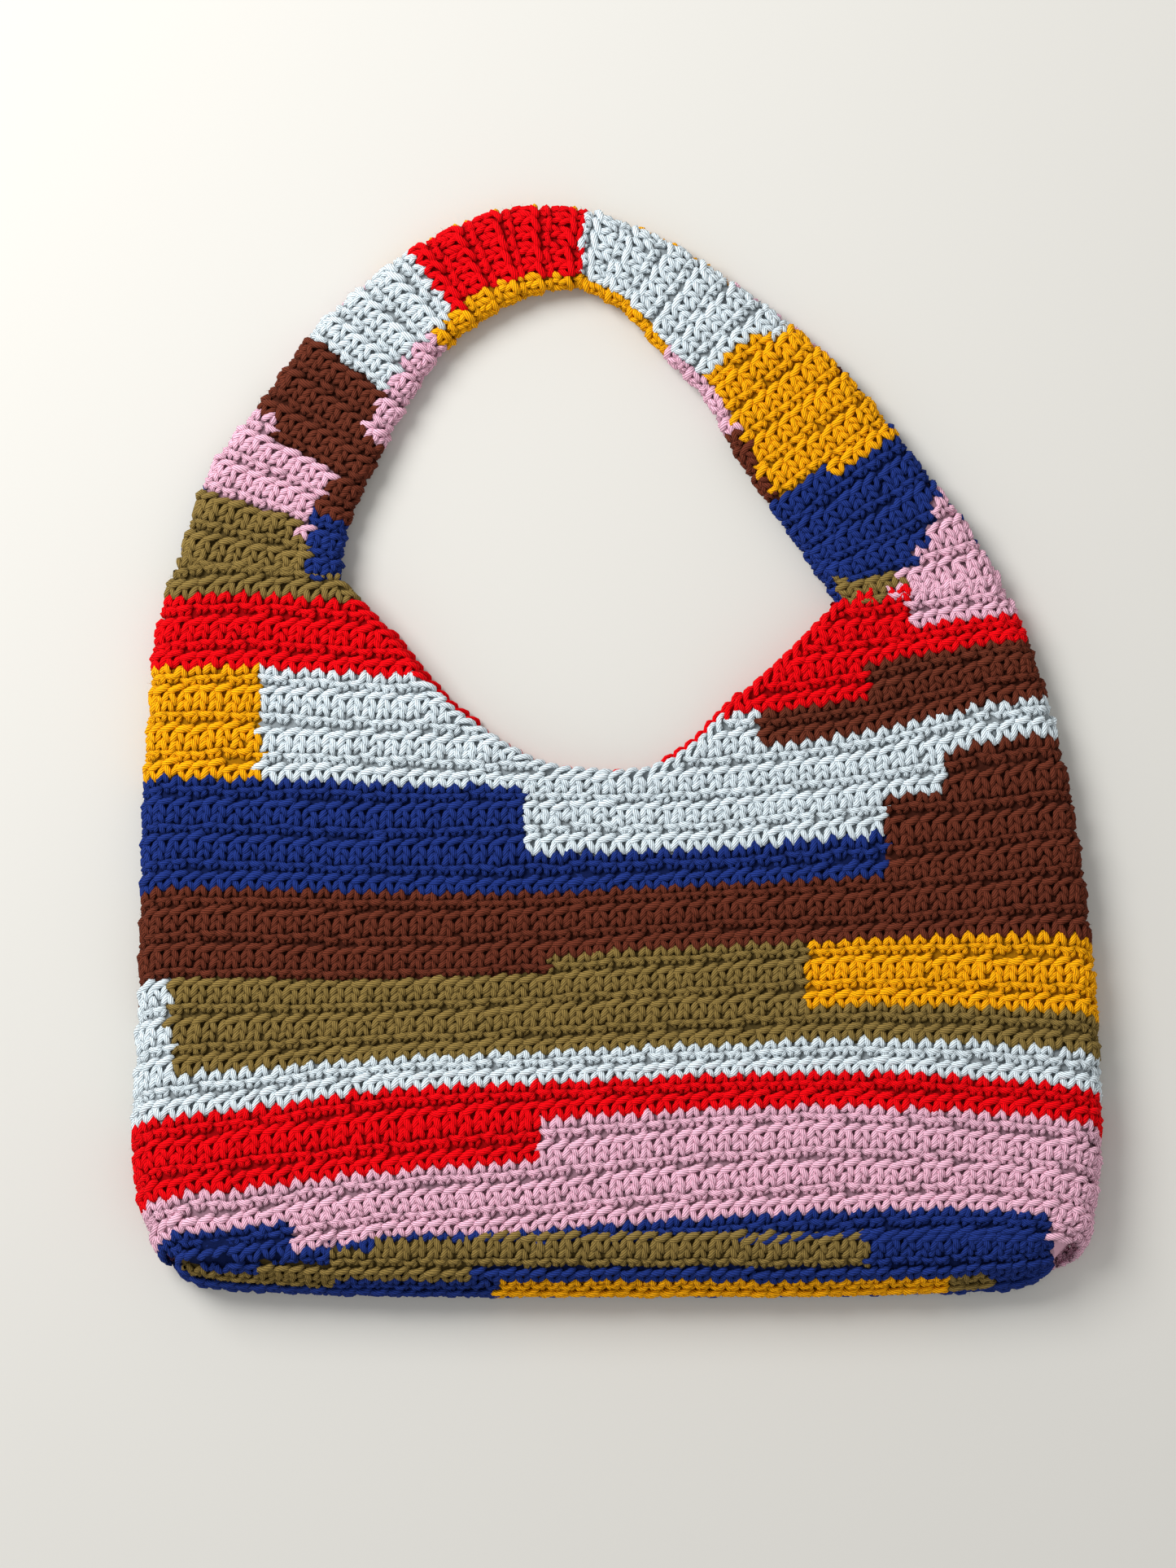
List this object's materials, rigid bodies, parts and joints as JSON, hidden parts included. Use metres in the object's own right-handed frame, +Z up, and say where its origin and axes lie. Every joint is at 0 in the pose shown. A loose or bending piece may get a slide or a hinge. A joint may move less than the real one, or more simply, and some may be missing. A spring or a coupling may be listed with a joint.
{
  "type": "crochet shoulder bag",
  "caption": "Hollow crocheted pouch bag with a rounded base panel and a flattened tube shoulder strap, lying flat on its back.",
  "frame": {"origin": "centre of the bag's footprint, on the surface that its back rests on", "axes": "+Z up out of the front face, +Y from the base panel towards the strap, +X to the right as seen from the front"},
  "size_m": [0.4092, 0.4624, 0.0322],
  "materials": {
    "yarn_light_blue": "matte worsted yarn, light blue",
    "yarn_navy": "matte worsted yarn, navy",
    "yarn_red": "matte worsted yarn, red",
    "yarn_orange": "matte worsted yarn, orange",
    "yarn_brown": "matte worsted yarn, brown",
    "yarn_olive": "matte worsted yarn, olive",
    "yarn_pink": "matte worsted yarn, pink"
  },
  "bodies": {
    "root": {"body": "yarn_light_blue", "base": "yarn_navy", "strap_left": "yarn_red", "strap_right": "yarn_orange"}
  },
  "joints": []
}
